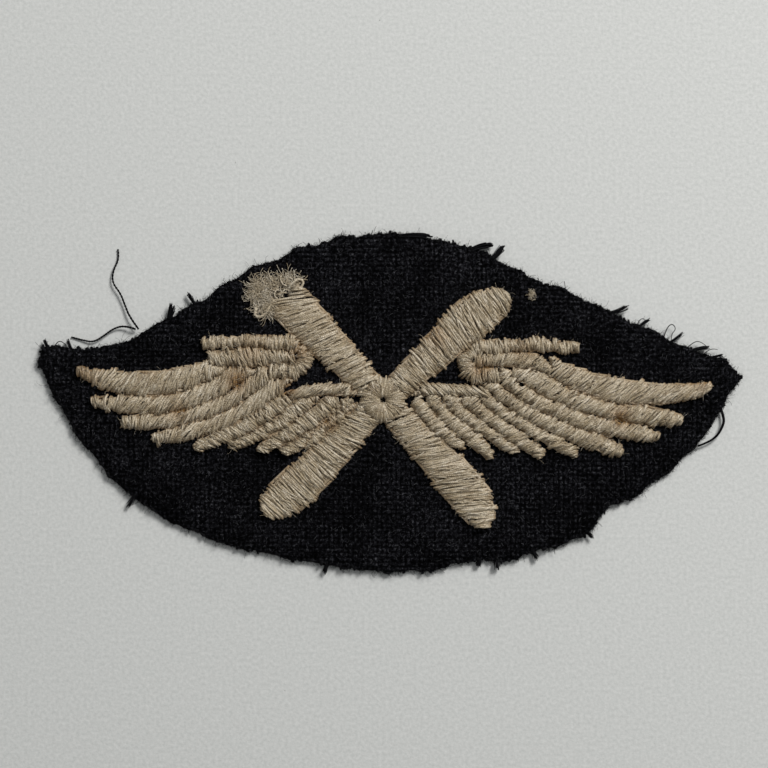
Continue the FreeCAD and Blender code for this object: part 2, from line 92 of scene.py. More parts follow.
def ramp(tree, source, *stops):
    """A colour ramp through stops, each a position and a hex colour."""
    made = add(tree, "ShaderNodeValToRGB", {"Fac": source})
    elements = made.color_ramp.elements
    for element, (position, colour) in zip(elements, stops):
        element.position, element.color = position, tint(colour)
    for position, colour in stops[len(elements):]:
        elements.new(position).color = tint(colour)
    return made.outputs["Color"]


def finish_material(name, build):
    made = bpy.data.materials.new(name)
    made.use_nodes = True
    tree = made.node_tree
    tree.nodes.clear()
    shader = build(tree)
    add(tree, "ShaderNodeOutputMaterial", {"Surface": shader.outputs["BSDF"]})
    return made


def grain(tree, scale_mm, detail=3.0, roughness=0.6):
    """Noise in the object's own space, with features about scale_mm across."""
    spot = add(tree, "ShaderNodeTexCoord").outputs["Object"]
    return add(tree, "ShaderNodeTexNoise", {"Vector": spot}, Scale=1 / (scale_mm * MM), Detail=detail,
               Roughness=roughness).outputs["Fac"]


def mark(tree, name):
    """A value marked on the points of a mesh."""
    return add(tree, "ShaderNodeAttribute", attribute_name=name).outputs["Fac"]


def maths(tree, operation, *values):
    """The result of a sum on numbers or other nodes' results."""
    made = add(tree, "ShaderNodeMath", operation=operation)
    for socket, value in zip(made.inputs, values):
        if isinstance(value, float):
            socket.default_value = value
        else:
            tree.links.new(value, socket)
    return made.outputs[0]


def multiplied(tree, share, first, second):
    """A colour multiplied by another, by a share of the full effect."""
    made = add(tree, "ShaderNodeMix", data_type="RGBA", blend_type="MULTIPLY")
    factor, colours = made.inputs["Factor"], made.inputs[6:8]
    for socket, value in zip((factor, *colours), (share, first, second)):
        if isinstance(value, (float, tuple)):
            socket.default_value = value
        else:
            tree.links.new(value, socket)
    return made.outputs[2]


def bump(tree, height, strength, depth_mm, **links):
    return add(tree, "ShaderNodeBump", {"Height": height, **links}, Strength=strength,
               Distance=depth_mm * MM).outputs[0]


def surface(tree, colour, normal, roughness, **settings):
    return add(tree, "ShaderNodeBsdfPrincipled", {"Base Color": colour, "Normal": normal},
               Roughness=roughness, **settings)


PLIES = 2.0


def cotton_thread(pale, usual, deep, stain_and_shade, twist_mm=0.5, roughness=0.62):
    """Two-ply cotton thread. Each thread has its own tone, the plies show as slanting ridges, and age
    has left it dull with tea-coloured stains. The same stain colour is also painted on as shade, deep
    between and under the columns."""
    def build(tree):
        colour = ramp(tree, mark(tree, "shade"), (0.0, deep), (0.45, usual), (1.0, pale))
        patches = ramp(tree, grain(tree, 2.2), (0.35, "#D8CCB4"), (0.65, "#FFFFFF"))
        colour = multiplied(tree, 0.6, colour, patches)
        fleck = ramp(tree, grain(tree, 0.2, 2.0), (0.35, "#A89E8E"), (0.6, "#FFFFFF"))
        colour = multiplied(tree, 0.7, colour, fleck)
        # this mark holds real tea-coloured stains and also painted shade, browner and darker deep between the
        # columns
        colour = multiplied(tree, mark(tree, "stain_and_shade"), colour, tint(stain_and_shade))
        thread = add(tree, "ShaderNodeUVMap", uv_map="thread").outputs["UV"]
        around, along, _ = add(tree, "ShaderNodeSeparateXYZ", {"Vector": thread}).outputs
        turns = maths(tree, "ADD", around, maths(tree, "DIVIDE", along, twist_mm))
        plies = maths(tree, "SINE", maths(tree, "MULTIPLY", turns, PLIES * math.tau))
        fuzz = bump(tree, grain(tree, 0.09, 2.0), 0.5, 0.05, Normal=bump(tree, plies, 0.5, 0.03))
        return surface(tree, colour, fuzz, roughness, Specular_IOR_Level=0.7, Sheen_Weight=0.15,
                       Sheen_Roughness=0.5)
    return build


def woven_wool(tree):
    """Blue-black worsted wool, fulled and napped, under a dusty bloom. Painted shade, from the weave's
    relief, makes the gaps between the yarns quite black, so that only the crowns of the yarns look lit."""
    bloom = ramp(tree, grain(tree, 0.42, 4.0, 0.85), (0.45, "#020203"), (0.58, "#2C2C30"), (0.72, "#77777C"))
    # painted shade: darker in the gaps between the yarns, by the weave's relief
    gap_shade = ramp(tree, mark(tree, "crest"), (0.1, "#6A6A6E"), (0.8, "#FFFFFF"))
    wide = ramp(tree, grain(tree, 6.0, 2.0), (0.35, "#A5A5A5"), (0.65, "#FFFFFF"))
    colour = multiplied(tree, 1.0, multiplied(tree, 1.0, bloom, gap_shade), wide)
    return surface(tree, colour, bump(tree, grain(tree, 0.14, 4.0, 0.7), 1.0, 0.15), 0.9,
                   Specular_IOR_Level=0.03)


def wool_fibre(deep, worn):
    """Single wool fibres and loose yarn: black, with greyer fibres among them."""
    def build(tree):
        colour = ramp(tree, mark(tree, "shade"), (0.3, deep), (1.0, worn))
        return surface(tree, colour, bump(tree, grain(tree, 0.1), 0.8, 0.08), 0.8, Specular_IOR_Level=0.15)
    return build


def sized_gauze(tree):
    """Unbleached cotton gauze stiffened with size, which leaves it slightly glossy and yellow."""
    colour = ramp(tree, grain(tree, 1.5), (0.3, "#B9AE93"), (0.7, "#D2C9B2"))
    return surface(tree, colour, bump(tree, grain(tree, 0.1), 0.4, 0.03), 0.55)


def matt_paper(tree):
    """Matt uncoated paper: nearly white, with a faint mottle, a fleck here and there and no gloss."""
    mottle = ramp(tree, grain(tree, 0.45), (0.3, "#D0D1CD"), (0.7, "#E2E2DE"))
    fleck = ramp(tree, grain(tree, 1.6, 2.0), (0.77, "#FFFFFF"), (0.8, "#8E8C88"))
    return surface(tree, multiplied(tree, 1.0, mottle, fleck), bump(tree, grain(tree, 0.35, 4.0), 0.6, 0.04),
                   0.9, Specular_IOR_Level=0.1)


SATIN = finish_material("mercerised_cotton_satin",
                        cotton_thread("#F2E8D4", "#CDBFA3", "#9C8C70", "#BC9658", roughness=0.36))
SOFT = finish_material("soft_cotton_padding",
                       cotton_thread("#EDE6D6", "#D8CEB8", "#B0A286", "#B8955C", 0.8, 0.8))
BOBBIN = finish_material("cotton_back_thread", cotton_thread("#D6CCB4", "#C2B69A", "#A39478", "#B89A6C"))
WOOL = finish_material("napped_worsted_wool", woven_wool)
FRAY = finish_material("loose_worsted_yarn", wool_fibre("#040406", "#141417"))
NAP = finish_material("raised_wool_fibre", wool_fibre("#060608", "#59595C"))
GAUZE = finish_material("sized_cotton_gauze", sized_gauze)
PAPER = finish_material("matt_paper", matt_paper)

# ---- Meshes ----


def new_mesh(name, points, faces_by_size, material):
    """A mesh object from points in millimetres and arrays of faces, one array for each face size."""
    mesh = bpy.data.meshes.new(name)
    corners = np.concatenate([faces.ravel() for faces in faces_by_size])
    sizes = np.concatenate([np.full(len(faces), faces.shape[1]) for faces in faces_by_size])
    mesh.vertices.add(len(points))
    mesh.vertices.foreach_set("co", (np.asarray(points, float) * MM).astype(np.float32).ravel())
    mesh.loops.add(len(corners))
    mesh.loops.foreach_set("vertex_index", corners.astype(np.int32))
    mesh.polygons.add(len(sizes))
    mesh.polygons.foreach_set("loop_start", np.concatenate([[0], np.cumsum(sizes)[:-1]]).astype(np.int32))
    mesh.polygons.foreach_set("use_smooth", np.ones(len(sizes), bool))
    mesh.update(calc_edges=True)
    mesh.materials.append(material)
    piece = bpy.data.objects.new(name, mesh)
    bpy.context.scene.collection.objects.link(piece)
    return piece


def points_of(piece):
    return np.array([v.co for v in piece.data.vertices]) / MM


def mark_points(piece, name, values):
    """Marks each point with its own value, or all of them with one."""
    layer = piece.data.attributes.new(name, "FLOAT", "POINT")
    layer.data.foreach_set("value", np.broadcast_to(values, len(layer.data)).astype(np.float32))


def unit(vectors):
    return vectors / np.linalg.norm(vectors, axis=-1, keepdims=True)


TINY = 1e-9


def threads(name, paths, radius, material, sides=6, flatness=1.0, shade=None):
    """Threads along paths, an array of (thread, station, xyz), each closed at both ends. The radius is
    one for each thread or one for each station, and flatness is height over width."""
    paths = np.asarray(paths, float)
    count, stations, _ = paths.shape
    radius = np.broadcast_to(np.asarray(radius, float).reshape(len(np.atleast_1d(radius)), -1),
                             (count, stations))
    run = np.gradient(paths, axis=1)
    run /= np.linalg.norm(run, axis=2, keepdims=True) + TINY
    across = np.cross(run, (0, 0, 1.0))
    across[np.linalg.norm(across, axis=2) < 0.05] = (1, 0, 0)       # where the thread runs straight up
    across = unit(across)
    over = np.cross(across, run)
    turn = math.tau * np.arange(sides) / sides
    ring = (across[:, :, None] * np.cos(turn)[:, None] + over[:, :, None] * np.sin(turn)[:, None] * flatness)
    points = (paths[:, :, None] + ring * radius[:, :, None, None]).reshape(-1, 3)
    first = (np.arange(count)[:, None, None] * stations + np.arange(stations - 1)[None, :, None]) * sides
    here, there = np.arange(sides), (np.arange(sides) + 1) % sides
    walls = np.stack([first + here, first + here + sides, first + there + sides, first + there], -1)
    start = np.arange(count)[:, None] * stations * sides
    caps = np.concatenate([start + here, start + (stations - 1) * sides + here[::-1]])
    piece = new_mesh(name, points, [walls.reshape(-1, 4), caps], material)
    shade = chance.random(count) if shade is None else shade
    mark_points(piece, "shade", np.repeat(shade, stations * sides))
    step = np.linalg.norm(np.diff(paths, axis=1), axis=2)
    along = np.concatenate([np.zeros((count, 1)), np.cumsum(step, axis=1)], axis=1)
    around = np.stack([here, here, here + 1, here + 1], -1) / sides
    low, high = along[:, :-1, None], along[:, 1:, None]
    along = np.stack([low, high, high, low], -1) + np.zeros((1, 1, sides, 1))
    coords = np.stack([np.broadcast_to(around, along.shape), along], -1).reshape(-1, 2)
    layer = piece.data.uv_layers.new(name="thread")
    flat = np.zeros((len(piece.data.loops), 2), np.float32)
    flat[:len(coords)] = coords
    layer.uv.foreach_set("vector", flat.ravel())
    return piece


def evenly(line, count, endpoint=True):
    """A line as a number of points at even steps along it, up to its end or one step short of it."""
    at = np.concatenate([[0], np.cumsum(np.linalg.norm(np.diff(line, axis=0), axis=1))])
    even = np.linspace(0, at[-1], count, endpoint=endpoint)
    return np.stack([np.interp(even, at, axis) for axis in line.T], 1)


def smooth_line(points, count):
    """Points along a smooth open spline through the route's control points."""
    curve = bpy.data.curves.new("route", "CURVE")
    curve.dimensions = "3D"
    spline = curve.splines.new("NURBS")
    spline.points.add(len(points) - 1)
    for spot, point in zip(spline.points, points):
        spot.co = (*point, 1)
    spline.order_u = 3
    spline.use_endpoint_u = True
    carrier = bpy.data.objects.new("route", curve)
    mesh = bpy.data.meshes.new_from_object(carrier)
    line = np.array([v.co for v in mesh.vertices])
    bpy.data.objects.remove(carrier)
    bpy.data.curves.remove(curve)
    bpy.data.meshes.remove(mesh)
    return evenly(line, count)


def bent_fibres(roots, angles, lengths, lift, curl, stations=5):
    """Paths of short fibres from their roots, which curl to one side as they go and lift soon."""
    count = len(roots)
    along = np.linspace(0, 1, stations)
    bend = chance.normal(0, curl, (count, 1)) * along
    heading = angles[:, None] + bend
    step = lengths[:, None] / (stations - 1) * np.ones(stations)
    step[:, 0] = 0
    x = roots[:, :1] + np.cumsum(step * np.cos(heading), 1)
    y = roots[:, 1:2] + np.cumsum(step * np.sin(heading), 1)
    z = roots[:, 2:3] + lift[:, None] * along ** 0.7
    return np.stack([x, y, z], 2)


def place(piece, slot, *replaced):
    """Puts a piece on the badge's one body and hides any CAD nodes that it stands for. The slot is not used.
    """
    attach(piece, "root")
    if replaced:
        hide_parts(*replaced)
    return piece


# ---- Outlines read from the CAD nodes ----


LEVEL = 0.002           # how close to a height a face counts as being at it


def outline_loops(node, height=SATIN_TOP):
    """The closed loops round the flat faces of a node that lie at a height, largest first, in mm."""
    points = np.round(points_of(nodes[node]), 4)
    edges = {}              # a dict and not a set, to keep them in order
    for polygon in nodes[node].data.polygons:
        corners = [tuple(points[i]) for i in polygon.vertices]
        if all(abs(corner[2] - height) < LEVEL for corner in corners):
            edges.update(((a[:2], b[:2]), None) for a, b in zip(corners, corners[1:] + corners[:1]))
    following = {a: b for a, b in edges if (b, a) not in edges}
    loops = []
    while following:
        start, here = following.popitem()
        loop = [start]
        while here != start and here in following:
            loop.append(here)
            here = following.pop(here)
        loops.append(np.array(loop))
    return sorted(loops, key=lambda loop: -abs(area_of(loop)))


def area_of(loop):
    x, y = loop.T
    return float((x * np.roll(y, -1) - y * np.roll(x, -1)).sum() / 2)


def sides_of(loops):
    """The segments of some loops, as an array of (segment, end, xy)."""
    return np.concatenate([np.stack([loop, np.roll(loop, -1, axis=0)], 1) for loop in loops])


PARALLEL = 1e-12


def crossings(segments, point, direction):
    """Distances along a line at which it crosses the segments."""
    start, along = segments[:, 0], segments[:, 1] - segments[:, 0]
    cross = direction[0] * along[:, 1] - direction[1] * along[:, 0]
    cross = np.where(abs(cross) < PARALLEL, PARALLEL, cross)
    gap = start - point
    line_at = (gap[:, 0] * along[:, 1] - gap[:, 1] * along[:, 0]) / cross
    side_at = (gap[:, 0] * direction[1] - gap[:, 1] * direction[0]) / cross
    return np.sort(line_at[(side_at >= 0) & (side_at < 1)])


def inside_row(segments, y, x):
    """Whether places on a row lie inside an outline."""
    return np.searchsorted(crossings(segments, np.array([0.0, y]), (1.0, 0.0)), x) % 2 == 1


def chords(segments, lines, shortest=0.35, outward=False):
    """The stretches of some lines that lie inside an outline. Each line is a point and a direction in
    radians, and what lies behind its point is left out if outward is set."""
    found = []
    for point, angle in lines:
        direction = np.array([math.cos(angle), math.sin(angle)])
        at = crossings(segments, point, direction)
        for low, high in zip(at[::2], at[1::2]):
            if high - low > shortest and not (outward and high < 0):
                found.append((point + direction * low, point + direction * high))
    return np.array(found).reshape(-1, 2, 2)


def gap_to(segments, points):
    """The distance from each point to the nearest of some segments."""
    points = np.asarray(points)
    start, along = segments[:, 0], segments[:, 1] - segments[:, 0]
    share = ((points[..., None, :] - start) * along).sum(-1) / (along ** 2).sum(1)
    near = start + np.clip(share, 0, 1)[..., None] * along
    return np.linalg.norm(points[..., None, :] - near, axis=-1).min(-1)


# ---- Satin stitches ----

THREAD = 0.15           # radius of a satin thread
PITCH = 0.23            # from one thread of a column to the next
SHED = 0.03             # how far a feather's stitches stop short of its neighbour
SINK = 0.2              # how far a stitch's ends go down into the wool
STATIONS = 11           # points along a stitch, closest near its ends
ALONG = (1 - np.cos(np.pi * np.arange(STATIONS) / (STATIONS - 1))) / 2
RAGGED = 0.2            # how unevenly pairs of stitches end
FULL = 1.6              # a stitch shorter than this rises less
TRACED = 0.97           # how near its ends a column's middle is traced, as a share of its half length
OVERRUN = 1.25          # how far out the lines for its threads are laid, as the same share
WANDER = 3.5            # degrees that a thread strays from its column's slant

# How the threads of each column slant: (place from root to tip, direction in degrees anticlockwise from
# the badge's length). Threads turn evenly between the places.
SLANTS = {
    "upper_right_blade": [(0.0, 140), (0.4, 128), (0.7, 121), (1.0, 128)],
    "upper_left_blade": [(0.0, 28), (0.5, 24), (0.8, 16), (1.0, 2)],
    "lower_left_blade": [(0.0, 162), (0.3, 152), (0.6, 132), (1.0, 142)],
    "lower_right_blade": [(0.0, 20), (0.5, 12), (1.0, 3)],
    "right_bone": [(0.0, 136), (1.0, 142)],
    "right_covert": [(0.0, 78), (0.5, 52), (1.0, 42)],
    "right_primary": [(0.0, 42), (0.8, 41), (1.0, 54)],
    "right_secondary": [(0.0, 36), (0.7, 28), (1.0, 8)],
    "left_bone": [(0.0, 44), (1.0, 38)],
    "left_covert": [(0.0, 98), (1.0, 118)],
    "left_primary": [(0.0, 96), (0.3, 62), (0.8, 48), (1.0, 105)],
    "left_secondary": [(0.0, 126), (0.6, 140), (1.0, 166)],
}


def slant_of(column):
    return next(slant for start, slant in SLANTS.items() if column.startswith(start))


def main_axis(loop):
    """The middle of an outline, its direction away from the hub and its half length."""
    centre = loop.mean(0)
    axis = np.linalg.svd(loop - centre, full_matrices=False)[2][0]
    axis = axis * np.sign((centre - HUB) @ axis)
    along = (loop - centre) @ axis
    return centre + axis * (along.max() + along.min()) / 2, axis, (along.max() - along.min()) / 2


def centre_line(segments, middle, axis, half):
    """Points along the middle of a column from its root to its tip."""
    normal = math.atan2(axis[0], -axis[1])
    spots = middle + axis * np.linspace(-TRACED, TRACED, 13)[:, None] * half
    for index, spot in enumerate(spots):
        found = chords(segments, [(spot, normal)], 0.05)
        if len(found):
            spots[index] = found[np.argmax(np.linalg.norm(found[:, 1] - found[:, 0], axis=1))].mean(0)
    return spots


def slanted_lines(column, loop, segments):
    """Lines for a column's threads, each with its own small error of place and direction."""
    middle, axis, half = main_axis(loop)
    line = centre_line(segments, middle, axis, half)
    places, slants = zip(*slant_of(column))
    traced = np.linspace(-TRACED, TRACED, len(line))
    lines = []
    at = -OVERRUN
    while at < OVERRUN:
        slant = math.radians(np.interp((at + 1) / 2, places, slants) + chance.normal(0, WANDER))
        spot = np.array([np.interp(at, traced, line[:, k]) for k in (0, 1)])
        spot = spot + axis * (at - np.clip(at, -TRACED, TRACED)) * half
        lines.append((spot, slant))
        square = abs(math.sin(slant - math.atan2(axis[1], axis[0])))
        at += PITCH / max(square, 0.35) * chance.uniform(0.7, 1.3) / half
    return lines


def arch(share, power=2.1):
    """Height of an arched stitch along its length, from 0 to 1 and back."""
    return (1 - abs(2 * share - 1) ** power) ** (1 / power)


def raised(flat, height):
    """Flat paths raised to a height at each station."""
    return np.concatenate([flat, height[:, :, None]], 2)


def stitch_paths(ends, shed=0.0):
    """Arched paths between pairs of ends, which go down into the cloth. Stitches pair up as they do, so
    a column's sides are serrated."""
    count = len(ends)
    run = ends[:, 1] - ends[:, 0]
    length = np.linalg.norm(run, axis=1)
    way = unit(run)
    over = np.repeat(chance.normal(-shed, RAGGED, (count // 2 + 1, 2)), 2, axis=0)[:count]
    over = over + chance.normal(0, 0.06, (count, 2))
    start = ends[:, 0] - way * over[:, :1]
    finish = ends[:, 1] + way * over[:, 1:]
    flat = start[:, None] + (finish - start)[:, None] * ALONG[:, None]
    side = np.stack([-way[:, 1], way[:, 0]], 1)
    sway = np.sin(np.pi * ALONG) * chance.normal(0, 0.05, (count, 1))
    sway = sway + np.sin(2 * np.pi * ALONG) * chance.normal(0, 0.035, (count, 1))
    flat = flat + side[:, None] * sway[:, :, None]
    lift = CROWN * np.clip(length / FULL, 0.25, 1) ** 0.6
    height = FACE - SINK + (lift + SINK - THREAD)[:, None] * arch(ALONG)
    height = height + np.sin(np.pi * ALONG) * chance.normal(0, 0.07, (count, 1))
    return raised(flat, height)


# Tea-coloured stains: place from the hub, radius and strength.
STAINS = [
    (-18.9, 2.4, 1.4, 0.9), (-12.1, 1.3, 0.9, 0.8), (-39.5, 2.5, 2.4, 0.6),
    (-17.0, 6.6, 2.2, 0.4), (-11.0, 6.2, 1.2, 0.7), (-26.5, -1.5, 1.4, 0.5),
    (-7.0, -3.0, 0.9, 0.5), (30.8, -2.3, 1.3, 0.8), (12.6, 4.0, 1.2, 0.7),
    (18.0, 6.4, 1.6, 0.4), (7.1, 8.1, 1.4, 0.5), (41.0, 2.2, 1.6, 0.4),
]


def mark_stains_and_shade(piece):
    """Marks a piece's points by how strongly they are stained, and with painted shade that is deepest in
    the valleys between and under the columns and least on their crowns.
    """
    points = points_of(piece)
    # painted shade: the deeper a point lies below the crowns, the browner and darker it is painted, in the
    # valleys between and under the columns
    depth = np.clip((SATIN_TOP - points[:, 2]) / SATIN_RISE, 0, 1)
    marked = 0.08 + 0.85 * depth ** 1.5
    for x, y, radius, strength in STAINS:
        gap = np.linalg.norm(points[:, :2] - HUB - (x, y), axis=1) / radius
        marked += strength * np.exp(-gap ** 2)
    mark_points(piece, "stain_and_shade", np.clip(marked, 0, 1))


STRANDS_PER_MM = 1.1    # lifted strands for each millimetre of stitch


def lifted_strands(paths):
    """Short strands that wear has split off the stitches. They lie over them, and break up their run."""
    lengths = np.linalg.norm(np.diff(paths, axis=1), axis=2).sum(1)
    count = int(lengths.sum() * STRANDS_PER_MM)
    picked = chance.choice(len(paths), count, p=lengths / lengths.sum())
    taken = np.clip(chance.uniform(0.6, 1.6, count) / lengths[picked], 0.2, 0.9)
    along = np.linspace(0, 1, STATIONS)
    at = (chance.random((count, 1)) * (1 - taken[:, None]) + taken[:, None] * along) * (STATIONS - 1)
    low = np.clip(at.astype(int), 0, STATIONS - 2)
    part = (at - low)[:, :, None]
    strands = paths[picked[:, None], low] * (1 - part) + paths[picked[:, None], low + 1] * part
    run = strands[:, -1, :2] - strands[:, 0, :2]
    side = unit(np.stack([-run[:, 1], run[:, 0]], 1))
    drift = chance.normal(0, 0.07, (count, 1)) + chance.normal(0, 0.14, (count, 1)) * (2 * along - 1)
    strands[:, :, :2] += side[:, None] * drift[:, :, None]
    strands[:, :, 2] += chance.uniform(0.04, 0.14, (count, 1)) * np.sin(np.pi * along) + 0.02
    return strands


def satin_piece(column, paths, shade=0.5):
    strands = lifted_strands(paths)
    count = len(paths) + len(strands)
    radius = THREAD * chance.uniform(0.82, 1.15, (count, 1)) * np.ones(STATIONS)
    radius[len(paths):] *= 0.55
    radius[:, [0, -1]] *= 0.6
    piece = threads(f"{column}_stitches", np.concatenate([paths, strands]), radius, SATIN, flatness=0.9,
                    shade=np.clip(chance.normal(shade, 0.28, count), 0, 1))
    mark_stains_and_shade(piece)
    return place(piece, "satin_thread", column)


WORN_COLUMN = "upper_left_blade"
WORN_FROM = 11.4        # height above the hub where the column's tip starts to be worn
WORN_LEFT = -14.3       # how far left of the hub its threads still reach there
WINDOW = (13.3, 14.5)   # heights above the hub between which many are broken, and above which most are gone
WINDOW_RIGHT = -11.9    # how far left of the hub that break ends
BROKEN, GONE = 0.6, 0.85        # the share of threads broken in it, and gone above it


def wear_away(ends):
    """The worn tip: threads have broken off on the left, and few cross a small window at the top."""
    kept = []
    for start, finish in ends:
        middle = (start + finish) / 2 - HUB
        if middle[1] < WORN_FROM:
            kept.append((start, finish))
            continue
        left, right = sorted((start, finish), key=lambda end: end[0])
        if middle[1] > WINDOW[1] and chance.random() < GONE:
            continue
        broken = middle[1] > WINDOW[0] and chance.random() < BROKEN
        limit = HUB[0] + (WINDOW_RIGHT if broken else WORN_LEFT) + chance.normal(0, 0.35)
        share = np.clip((limit - left[0]) / (right[0] - left[0]), 0, 0.75)
        left = left + (right - left) * share
        if middle[1] > WINDOW[0]:
            left = left + (0, chance.normal(0, 0.35))
            right = right + (0, chance.normal(0, 0.2))
        kept.append((left, right))
    return np.array(kept)


def sew_column(column):
    loops = outline_loops(column)
    segments = sides_of(loops)
    ends = chords(segments, slanted_lines(column, loops[0], segments))
    if column == WORN_COLUMN:
        ends = wear_away(ends)
    return satin_piece(column, stitch_paths(ends, 0.0 if column in BLADES else SHED))


CURL_OUTER = 2.75       # outside radius of a scroll's curl
FAN = (80, 280)         # directions that the threads of a right scroll's curl fan through, in degrees
LEAN = {"right": 100, "left": 82}       # and that the threads of its row take


def sew_scroll(column):
    """Threads fan round the curl and then slant along the row."""
    lo, hi = box_mm(column)
    segments = sides_of(outline_loops(column))
    wing = column.split("_")[0]
    side = 1 if wing == "right" else -1
    centre = np.array([lo[0] + CURL_OUTER if side > 0 else hi[0] - CURL_OUTER, lo[1] + CURL_OUTER])
    angles = np.arange(*np.radians(FAN), PITCH * 1.1 / CURL_OUTER)
    angles = angles if side > 0 else math.pi - angles
    fan = [(centre, angle + chance.normal(0, 0.04)) for angle in angles]
    lean = math.radians(LEAN[wing])
    reach = np.arange(0.2, (hi[0] - lo[0]) - CURL_OUTER + 1, PITCH)
    row = [(centre + (side * x, CURL_OUTER * 0.7), lean + chance.normal(0, 0.05)) for x in reach]
    fan_ends = chords(segments, fan, outward=True)
    row_ends = chords(segments, row)
    row_ends = row_ends[(side * (row_ends.mean(1)[:, 0] - centre[0])) > 0.1]
    return satin_piece(column, stitch_paths(np.concatenate([fan_ends, row_ends])))


def hub_crown(share):
    """Height of the hub's ring from its pinhole, where it is already raised, to its rim."""
    return arch(0.12 + 0.88 * share, 2.4)


def sew_hub(column):
    """Radial threads over a crowned ring, from the pinhole to the rim."""
    count = int(math.tau * HUB_RADIUS / PITCH * 0.9)
    angles = math.tau * (np.arange(count) + chance.uniform(-0.3, 0.3, count)) / count
    out = np.stack([np.cos(angles), np.sin(angles)], 1)
    start = np.where(np.arange(count) % 2, 0.35, 0.75) + chance.uniform(0, 0.15, count)
    reach = start[:, None] + (HUB_RADIUS + 0.05 + chance.normal(0, 0.12, (count, 1)) - start[:, None]) * ALONG
    height = FACE - SINK + (HUB_RISE + SINK - THREAD) * hub_crown(ALONG)
    height = height - (0.35 * np.exp(-(reach / 0.5) ** 2)) + chance.normal(0, 0.03, (count, 1))
    flat = HUB + out[:, None] * reach[:, :, None]
    return satin_piece(column, raised(flat, height), shade=0.3)


BLADES = [f"{quarter}_blade" for quarter in ("upper_right", "upper_left", "lower_left", "lower_right")]
WINGS = ("right", "left")
FEATHERS = [f"{wing}_{part}" for wing in WINGS
            for part in ["bone", "covert"] + [f"primary_{i}" for i in range(1, 5)]
            + [f"secondary_{i}" for i in range(1, 6)]]

sewn = [sew_column(name) for name in BLADES + FEATHERS]
sewn += [sew_scroll(f"{wing}_scroll") for wing in WINGS]
sewn.append(sew_hub("hub_ring"))


def raise_fuzz(count=3600):
    """Fine fibres that wear has raised from the satin threads, drawn thicker than real so that they show."""
    points = np.concatenate([points_of(piece) for piece in sewn])
    points = points[points[:, 2] > FACE + 0.3]
    roots = points[chance.integers(0, len(points), count)]
    paths = bent_fibres(roots, chance.random(count) * math.tau, chance.uniform(0.3, 1.0, count),
                        chance.uniform(0.0, 0.25, count), 1.1)
    piece = threads("satin_fuzz", paths, chance.uniform(0.012, 0.026, count), SOFT, sides=3)
    mark_points(piece, "stain_and_shade", 0.1)
    return place(piece, "satin_thread")


raise_fuzz()

# ---- Padding under the satin ----

UNDERLAY = 0.19         # radius of a padding thread
UNDERLAY_PITCH = 0.34


def lengthwise(loop):
    """Threads laid along a column, and the segments of its outline."""
    segments = sides_of([loop])
    middle, axis, _ = main_axis(loop)
    across = np.array([-axis[1], axis[0]])
    width = abs((loop - middle) @ across).max()
    angle = math.atan2(axis[1], axis[0])
    offsets = np.arange(-width, width, UNDERLAY_PITCH)
    ends = chords(segments, [(middle + across * o, angle + chance.normal(0, 0.015)) for o in offsets], 0.8)
    share = np.linspace(0.02, 0.98, 22)
    return ends[:, :1] + (ends[:, 1:] - ends[:, :1]) * share[:, None], segments


def underlay(node, paths):
    piece = threads(f"{node}_underlay", paths, UNDERLAY, SOFT, flatness=0.8)
    mark_stains_and_shade(piece)
    return place(piece, "padding_thread", node)


def pad_columns(node, columns):
    """The lengthwise padding of some columns, highest along each column's middle."""
    paths = []
    for column in columns:
        flat, segments = lengthwise(outline_loops(column)[0])
        if column == WORN_COLUMN:
            start, top = flat[:, :1], HUB[1] + WINDOW[0] - 0.2
            left = np.clip((top - start[:, :, 1]) / (flat[:, -1:, 1] - start[:, :, 1]), 0, 1)
            flat = start + (flat - start) * left[:, :, None]
        dome = np.clip(gap_to(segments, flat) / 1.1, 0, 1)
        height = FACE - 0.1 + (SATIN_RISE - 0.28) * np.sqrt(1 - (1 - dome) ** 2)
        height = height + chance.normal(0, 0.015, height.shape)
        paths.append(raised(flat, height))
    return underlay(node, np.concatenate(paths))


def pad_hub(node):
    """Rings of padding thread under the hub's crown."""
    turn = np.linspace(0, math.tau, 22)
    rings = []
    for reach in np.arange(0.6, HUB_RADIUS - 0.25, UNDERLAY_PITCH):
        height = FACE + (HUB_RISE - 0.4) * hub_crown(reach / HUB_RADIUS) - 0.05
        rings.append(np.stack([HUB[0] + reach * np.cos(turn), HUB[1] + reach * np.sin(turn),
                               np.full(len(turn), height)], 1))
    return underlay(node, rings)


for name in BLADES:
    pad_columns(f"{name}_padding", [name])
for wing in WINGS:
    pad_columns(f"{wing}_wing_padding",
                [name for name in FEATHERS + [f"{wing}_scroll"] if name.startswith(wing)])
pad_hub("hub_padding")


